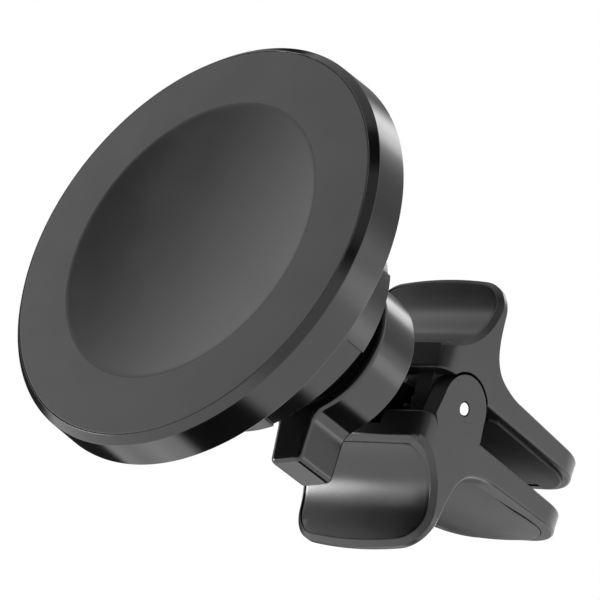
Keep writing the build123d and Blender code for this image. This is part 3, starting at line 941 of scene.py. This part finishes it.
@dataclass
class Carrier:
    """The ball stud, the block that it is fixed in, the hinge pin and the springs round it."""

    ball_y: float = -16.5
    ball_r: float = 7.0
    neck_r: float = 2.3
    tail_r: float = 1.5
    tail_y: float = -1.6
    boss_y: float = -8.0
    boss_r: float = 2.8
    hub_r: float = 3.2
    half_w: float = 3.4
    pin_r: float = 1.0
    pin_half: float = 11.9
    pin_bevel: float = 0.15
    spring_start: float = 3.8
    spring_len: float = 2.4
    coil_r: float = 2.0
    wire_r: float = 0.34
    coil_turns: int = 3
    coil_steps: int = 28
    leg_len: float = 4.6
    leg_lean: float = 0.15

    def stud(self) -> None:
        """Ball with its filleted neck and tail."""
        neck_angle = math.degrees(math.acos(self.neck_r / self.ball_r))
        ball = arc((0, self.ball_y), self.ball_r, -90, neck_angle - 4, 48)
        neck_y = ball[-1][1]
        fillet = [
            (self.neck_r + 0.35, neck_y + 0.3),
            (self.neck_r + 0.1, neck_y + 0.8),
            (self.neck_r, neck_y + 1.3),
        ]
        tail = [
            (self.neck_r, self.boss_y),
            (self.tail_r, self.boss_y),
            (self.tail_r, self.tail_y - 0.2),
            (self.tail_r - 0.2, self.tail_y),
            (0, self.tail_y),
        ]
        stud = Bench.lathe("ball_and_neck", [*ball, *fillet, *tail], steps=128)
        Bench.smooth(stud)
        # Painted shade: the stud's darker, weakly reflecting finish stands in for the shade inside the
        # clip.
        dress(stud, Finish.STUD_PLASTIC_PAINTED_SHADE, "carrier", "ball_stud")

    def block(self) -> None:
        """Hub on the pin, with the boss that takes the stud's tail."""
        hub = [
            (self.pin_r, -self.half_w),
            (self.hub_r, -self.half_w),
            (self.hub_r, self.half_w),
            (self.pin_r, self.half_w),
            (self.pin_r, -self.half_w),
        ]
        block = Bench.lathe("stem_hub", hub, Turn.ABOUT_X, 96)
        cuts = (
            ("stem_boss", self.boss_r, self.boss_y, Cut.JOIN),
            ("stud_hole", self.tail_r, self.boss_y - 1, Cut.REMOVE),
        )
        for name, radius, start, cut in cuts:
            plug = [(0, start), (radius, start), (radius, self.tail_y), (0, self.tail_y)]
            Bench.combine(block, Bench.lathe(name, plug, steps=96), cut)
        Bench.soften(block, 0.2, 3, 35)
        Bench.smooth(block)
        # Painted shade: the block's darker, weakly reflecting finish stands in for the shade inside
        # the clip.
        dress(block, Finish.STUD_PLASTIC_PAINTED_SHADE, "carrier", "stem_block")

    def pin(self) -> None:
        """Ground pin with chamfered ends."""
        half = self.pin_half
        right = [(self.pin_r, half - self.pin_bevel), (self.pin_r - self.pin_bevel, half), (0, half)]
        left = [(radius, -along) for radius, along in reversed(right)]
        pin = Bench.lathe("ground_pin", [*left, *right], Turn.ABOUT_X, 64)
        Bench.smooth(pin)
        dress(pin, Finish.PIN_STEEL, "carrier", "hinge_pin")

    def spring(self, side: int) -> bpy.types.Object:
        """One torsion spring: straight leg, close coils, straight leg.

        Args:
            side: 1 for the +X side and -1 for the other.

        Returns:
            The spring's mesh.
        """
        rise = self.spring_len - 2 * self.wire_r - 0.3
        first = side * (self.spring_start + self.wire_r + 0.15)
        count = self.coil_steps * self.coil_turns + self.coil_steps // 2
        sweep = math.tau * self.coil_turns + math.pi
        coil = []
        for step in range(count + 1):
            a = math.pi / 2 + sweep * step / count
            along = first + side * rise * step / count
            coil.append((along, self.coil_r * math.cos(a), self.coil_r * math.sin(a)))
        start = (first, -self.leg_len, self.coil_r - self.leg_lean)
        end = (first + side * rise, -self.leg_len, self.leg_lean - self.coil_r)
        path = [start, *coil, end]
        bpy.ops.object.select_all(action="DESELECT")
        bpy.ops.curve.primitive_nurbs_path_add()
        wire = bpy.context.object
        line = wire.data
        line.splines.clear()
        run = line.splines.new("POLY")
        run.points.add(len(path) - 1)
        for knot, place in zip(run.points, path):
            knot.co = (*(Vector(place) * MM), 1)
        line.dimensions = "3D"
        line.bevel_depth = self.wire_r * MM
        line.bevel_resolution = 4
        line.use_fill_caps = True
        Bench.choose(wire)
        bpy.ops.object.convert(target="MESH")
        return bpy.context.object

    def springs(self) -> None:
        """The pair of springs as one piece."""
        pair = [self.spring(1), self.spring(-1)]
        bpy.ops.object.select_all(action="DESELECT")
        for one in pair:
            one.select_set(True)
        bpy.context.view_layer.objects.active = pair[0]
        bpy.ops.object.join()
        springs = Bench.named("coiled_springs")
        Bench.edit(springs)
        Bench.leave()
        Bench.smooth(springs, 50)
        dress(springs, Finish.SPRING_STEEL, "carrier", "torsion_springs")

    def build(self) -> None:
        """Build the carrier's pieces."""
        self.stud()
        self.block()
        self.pin()
        self.springs()


# --- clip


@dataclass
class Clip:
    """The two jaws with their finger pads, grip pads and outer panels."""

    half_w: float = 12.0
    tip_y: float = 30.4
    tip_corner_r: float = 7.3
    margin: float = 1.2
    lever_top: float = 20.6
    lever_shoulder: float = 19.4
    lever_corner_r: float = 5.0
    pad_t: float = 0.9
    pad_margin: float = 0.8
    pad_bottom: float = 7.8
    lever_knots: tuple[tuple[float, float], ...] = (
        (-5.3, 7.6),
        (-3.2, 9.0),
        (-1.1, 11.4),
        (0.1, 14.4),
        (0.35, 17.4),
        (0.1, 20.8),
    )
    crown_cuts: int = 16
    crown_fall: float = 0.22
    pad_bottom_r: float = 3.0
    grip_face: float = 2.1
    grip_floor: float = 3.5
    grip_front: float = 7.5
    notch_half: float = 4.8
    notch_depth: float = 1.6
    panel_floor: float = 5.0
    panel_top: float = 6.75
    panel_middle_y: float = 19.5
    panel_front: float = 10.3
    panel_front_half: float = 8.6
    panel_front_r: float = 1.5
    panel_wide: float = 22.0
    panel_rear: float = 29.1
    panel_rear_half: float = 9.8
    panel_rear_r: float = 5.6
    dome_reach: tuple[float, float] = (20.2, 20.6)
    dome_z: float = 0.75
    gap: float = 0.03

    def both(self, piece: bpy.types.Object, stem: str, finish: Finish) -> None:
        """Dress an upper piece, and its turned copy for the lower jaw.

        Args:
            piece: The upper piece.
            stem: The node's name without upper or lower.
            finish: The finish of both.
        """
        Bench.smooth(piece)
        lower = Bench.turned_copy(piece, f"lower_{piece.name.removeprefix('upper_')}")
        dress(piece, finish, "upper_jaw", f"upper_{stem}")
        dress(lower, finish, "lower_jaw", f"lower_{stem}")

    def jaws(self) -> None:
        """Jaw mouldings, each with its lever, arm and ears."""
        jaw = Bench.copy_node("upper_jaw", "upper_jaw_body")
        self.both(jaw, "jaw", Finish.JAW_SATIN)

    def finger_outline(self) -> list[tuple[float, float]]:
        """Outline of a finger pad seen from the front.

        Returns:
            Pairs of x and z, in order round the pad.
        """
        inset = self.pad_margin + self.gap
        half, shoulder = self.half_w - inset, self.lever_shoulder - inset
        crown = self.lever_top - inset
        rise = crown - shoulder
        crown_r = (half**2 + rise**2) / (2 * rise)
        corner_r = self.lever_corner_r - inset
        low_r = self.pad_bottom_r - self.gap
        reach = math.sqrt((crown_r - corner_r) ** 2 - (half - corner_r) ** 2)
        lean = math.degrees(math.atan2(reach, half - corner_r))
        centre_z = crown - crown_r
        right = [
            *arc((half - low_r, self.pad_bottom + self.gap + low_r), low_r, -90, 0, 12),
            *arc((half - corner_r, centre_z + reach), corner_r, 0, lean, 14),
            *arc((0, centre_z), crown_r, lean, 90, 6)[1:],
        ]
        return right + [(-x, z) for x, z in reversed(right[:-1])]

    def finger_pads(self) -> None:
        """Glossy inlays that follow the levers' concave fronts and fall away at the sides."""
        front = curve_through(self.lever_knots, 12)
        back = [(y + self.pad_t - self.gap, z) for y, z in reversed(front)]
        section = [(-self.half_w, y, z) for y, z in front + back]
        pad = Bench.slab("upper_finger_pad", section, (2 * self.half_w, 0, 0))
        Bench.edit(pad)
        for cut in range(1, self.crown_cuts):
            bpy.ops.mesh.select_all(action="SELECT")
            place = (self.half_w * (2 * cut / self.crown_cuts - 1) * MM, 0, 0)
            bpy.ops.mesh.bisect(plane_co=place, plane_no=(1, 0, 0))
        bpy.ops.object.mode_set(mode="OBJECT")
        for vertex in pad.data.vertices:
            vertex.co.y += self.crown_fall * MM * (vertex.co.x / (self.half_w * MM)) ** 2
        corners = [(x, -8.0, z) for x, z in self.finger_outline()]
        tool = Bench.slab("finger_pad_outline", corners, (0, 16, 0))
        Bench.combine(pad, tool, Cut.KEEP_SHARED)
        Bench.soften(pad, 0.12, 3, 40)
        self.both(pad, "lever_pad", Finish.LEVER_GLOSS)

    def grip_pads(self) -> None:
        """Rubber pads on the inner faces, notched at the tip."""
        half = self.half_w - self.margin
        radius = self.tip_corner_r - self.margin
        tip = self.tip_y - self.margin
        right = [
            (half - 1, self.grip_front),
            (half, self.grip_front + 1),
            *arc((half - radius, tip - radius), radius, 0, 90, 18)[:-1],
            (self.notch_half, tip),
            (self.notch_half, tip - self.notch_depth),
        ]
        outline = right + [(-x, y) for x, y in reversed(right)]
        corners = [(x, y, self.grip_face) for x, y in outline]
        depth = self.grip_floor - self.grip_face - self.gap
        pad = Bench.slab("upper_grip_pad_rubber", corners, (0, 0, depth))
        Bench.soften(pad, 0.25, 3, 35)
        self.both(pad, "grip_pad", Finish.GRIP_RUBBER)

    def panels(self) -> None:
        """Panels that bulge a little out of the jaws' outer faces."""
        front_r, rear_r = self.panel_front_r, self.panel_rear_r
        near = (self.panel_front_half - front_r, self.panel_front + front_r)
        far = (self.panel_rear_half - rear_r, self.panel_rear - rear_r)
        right = [
            *arc(near, front_r, -90, 0, 8),
            (self.panel_rear_half, self.panel_wide),
            *arc(far, rear_r, 0, 90, 18),
        ]
        outline = right + [(-x, y) for x, y in reversed(right)]
        corners = [(x, y, self.panel_floor) for x, y in outline]
        panel = Bench.slab("upper_panel", corners, (0, 0, 3))
        bpy.ops.object.select_all(action="DESELECT")
        reach = (*self.dome_reach, self.panel_top - self.dome_z)
        bpy.ops.mesh.primitive_uv_sphere_add(
            segments=256,
            ring_count=128,
            radius=1,
            location=(0, self.panel_middle_y * MM, self.dome_z * MM),
            scale=[length * MM for length in reach],
        )
        dome = Bench.named("panel_dome")
        Bench.combine(panel, dome, Cut.KEEP_SHARED)
        Bench.soften(panel, 0.12, 2, 40)
        self.both(panel, "outer_panel", Finish.PANEL_GLOSS)

    def build(self) -> None:
        """Build both halves."""
        self.jaws()
        self.finger_pads()
        self.grip_pads()
        self.panels()


# --- hidden pieces


@dataclass
class Inside:
    """Frame nodes that keep their own shape and only get their finish."""

    def build(self) -> None:
        """Give every node that is kept its material."""
        kept = {
            "adhesive_disc": Finish.ADHESIVE_FILM,
            "magnet_ring": Finish.MAGNET_NICKEL,
            "shield_ring": Finish.SHIELD_STEEL,
            "magnet_tray": Finish.TRAY_PLASTIC,
            "socket_screws": Finish.SCREW_STEEL,
            "ball_seat": Finish.SEAT_PLASTIC,
            "ball_liner": Finish.LINER_PLASTIC,
        }
        for node, finish in kept.items():
            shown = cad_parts[node]
            shown.data.materials.clear()
            shown.data.materials.append(finish.material())
            log.info("%s: kept, %s", node, finish.slot)


# --- studio


@dataclass(frozen=True)
class Lobe:
    """A soft patch of brighter or darker surroundings."""

    towards: tuple[float, float, float]
    inner: float
    outer: float
    amount: float


@dataclass
class Studio:
    """Camera, pale floor and the soft surroundings that light the mount."""

    lens: float = 167.2
    sensor: float = 36.0
    place_mm: tuple[float, float, float] = (247.4, -259.9, -131.5)
    right: tuple[float, float, float] = (0.7391, 0.5914, 0.3223)
    up: tuple[float, float, float] = (0.0103, -0.4884, 0.8726)
    back: tuple[float, float, float] = (0.6735, -0.6416, -0.3671)
    floor_z: float = -0.6
    floor_size: float = 8.0
    base: float = 1.95
    darkest: float = 0.02
    lobes: tuple[Lobe, ...] = (
        Lobe((-0.01, 0.64, -0.77), 14, 20, -1.95),
        Lobe((-0.77, 0.64, 0.02), 9, 22, -1.9),
        Lobe((-0.95, 0.26, 0.1), 16, 27, -1.9),
        Lobe((-0.6, 0.5, 0.6), 14, 26, -1.7),
        Lobe((0.44, 0.64, 0.62), 8, 26, -1.2),
        Lobe((-0.15, -0.1, 0.98), 24, 46, -1.35),
        Lobe((0.5, -0.6, 0.6), 20, 34, -1.5),
        Lobe((-0.42, -0.85, 0.3), 10, 31, -1.8),
        Lobe((0.6, -0.75, -0.2), 15, 36, -0.9),
        Lobe((-0.06, 0.64, 0.765), 4, 12, 2.0),
        Lobe((-0.5, 0.8, 0.33), 3, 12, 4.0),
        Lobe((-0.7, 0.64, -0.33), 8, 22, -0.9),
        Lobe((0.76, 0.64, 0.06), 3, 11, 1.4),
    )
    key_towards: tuple[float, float, float] = (-0.78, -0.57, -0.25)
    key_distance: float = 1.2
    key_size: float = 0.34
    key_power: float = 6.0

    def camera(self) -> None:
        """Long lens, below and to the +X side of the face."""
        holder = bpy.data.cameras.new("studio_camera")
        holder.lens = self.lens
        holder.sensor_width = self.sensor
        camera = bpy.data.objects.new("studio_camera", holder)
        bpy.context.scene.collection.objects.link(camera)
        turn = Matrix((self.right, self.up, self.back)).transposed().to_4x4()
        camera.matrix_world = Matrix.Translation(Vector(self.place_mm) * MM) @ turn
        bpy.context.scene.camera = camera

    def key_light(self) -> None:
        """Round soft box in front, on the far side from the camera."""
        holder = bpy.data.lights.new("key_light", "AREA")
        holder.shape = "DISK"
        holder.size = self.key_size
        holder.energy = self.key_power
        light = bpy.data.objects.new("key_light", holder)
        bpy.context.scene.collection.objects.link(light)
        aim = Vector(self.key_towards).normalized()
        turn = aim.to_track_quat("Z", "Y").to_matrix().to_4x4()
        light.matrix_world = Matrix.Translation(aim * self.key_distance) @ turn

    def floor(self) -> None:
        """Large pale floor well below the mount."""
        bpy.ops.object.select_all(action="DESELECT")
        bpy.ops.mesh.primitive_plane_add(size=self.floor_size, location=(0, 0, self.floor_z))
        floor = Bench.named("studio_floor")
        holder, graph = new_material("floor_paper")
        fibres = graph.noise(graph.place(), 3.0, 4.0)
        sockets = {
            "Base Color": graph.blend(fibres, grey(0.82), grey(0.86)),
            "Roughness": 0.9,
            "Specular IOR Level": 0.1,
        }
        floor.data.materials.append(closed(holder, graph, sockets))
        floor.visible_glossy = False

    def surroundings(self) -> None:
        """White to the eye, and a soft studio of bright and dark patches to the surfaces."""
        world = bpy.data.worlds.new("soft_studio")
        world.use_nodes = True
        bpy.context.scene.world = world
        graph = Graph(world.node_tree)
        towards = graph.add("ShaderNodeTexCoord", {}, {}, "Generated")
        light: Any = self.base
        for lobe in self.lobes:
            pair = {0: towards, 1: Vector(lobe.towards).normalized()}
            near = graph.add("ShaderNodeVectorMath", {"operation": "DOT_PRODUCT"}, pair, "Value")
            edge, core = math.cos(math.radians(lobe.outer)), math.cos(math.radians(lobe.inner))
            light = graph.ramp(near, edge, core, 0.0, lobe.amount) + light
        light = graph.add("ShaderNodeMath", {"operation": "MAXIMUM"}, {0: light, 1: self.darkest})
        lit = graph.add("ShaderNodeBackground", {}, {"Color": grey(1.0), "Strength": light})
        seen = graph.add("ShaderNodeBackground", {}, {"Color": grey(1.0), "Strength": 1.0})
        eye = graph.add("ShaderNodeLightPath", {}, {}, "Is Camera Ray")
        mixed = graph.add("ShaderNodeMixShader", {}, {0: eye, 1: lit, 2: seen})
        graph.add("ShaderNodeOutputWorld", {}, {"Surface": mixed})

    def build(self) -> None:
        """Set up the studio."""
        bpy.context.scene.view_settings.view_transform = "Standard"
        self.camera()
        self.key_light()
        self.floor()
        self.surroundings()


def main() -> None:
    """Build the studio and every sub-assembly, and log each piece's face count."""
    logging.basicConfig(level=logging.INFO, format="%(name)s: %(message)s")
    for assembly in (Studio(), Disc(), Boss(), LockNut(), Carrier(), Clip(), Inside()):
        log.info("building %s", type(assembly).__name__)
        assembly.build()


if __name__ == "__main__":
    main()
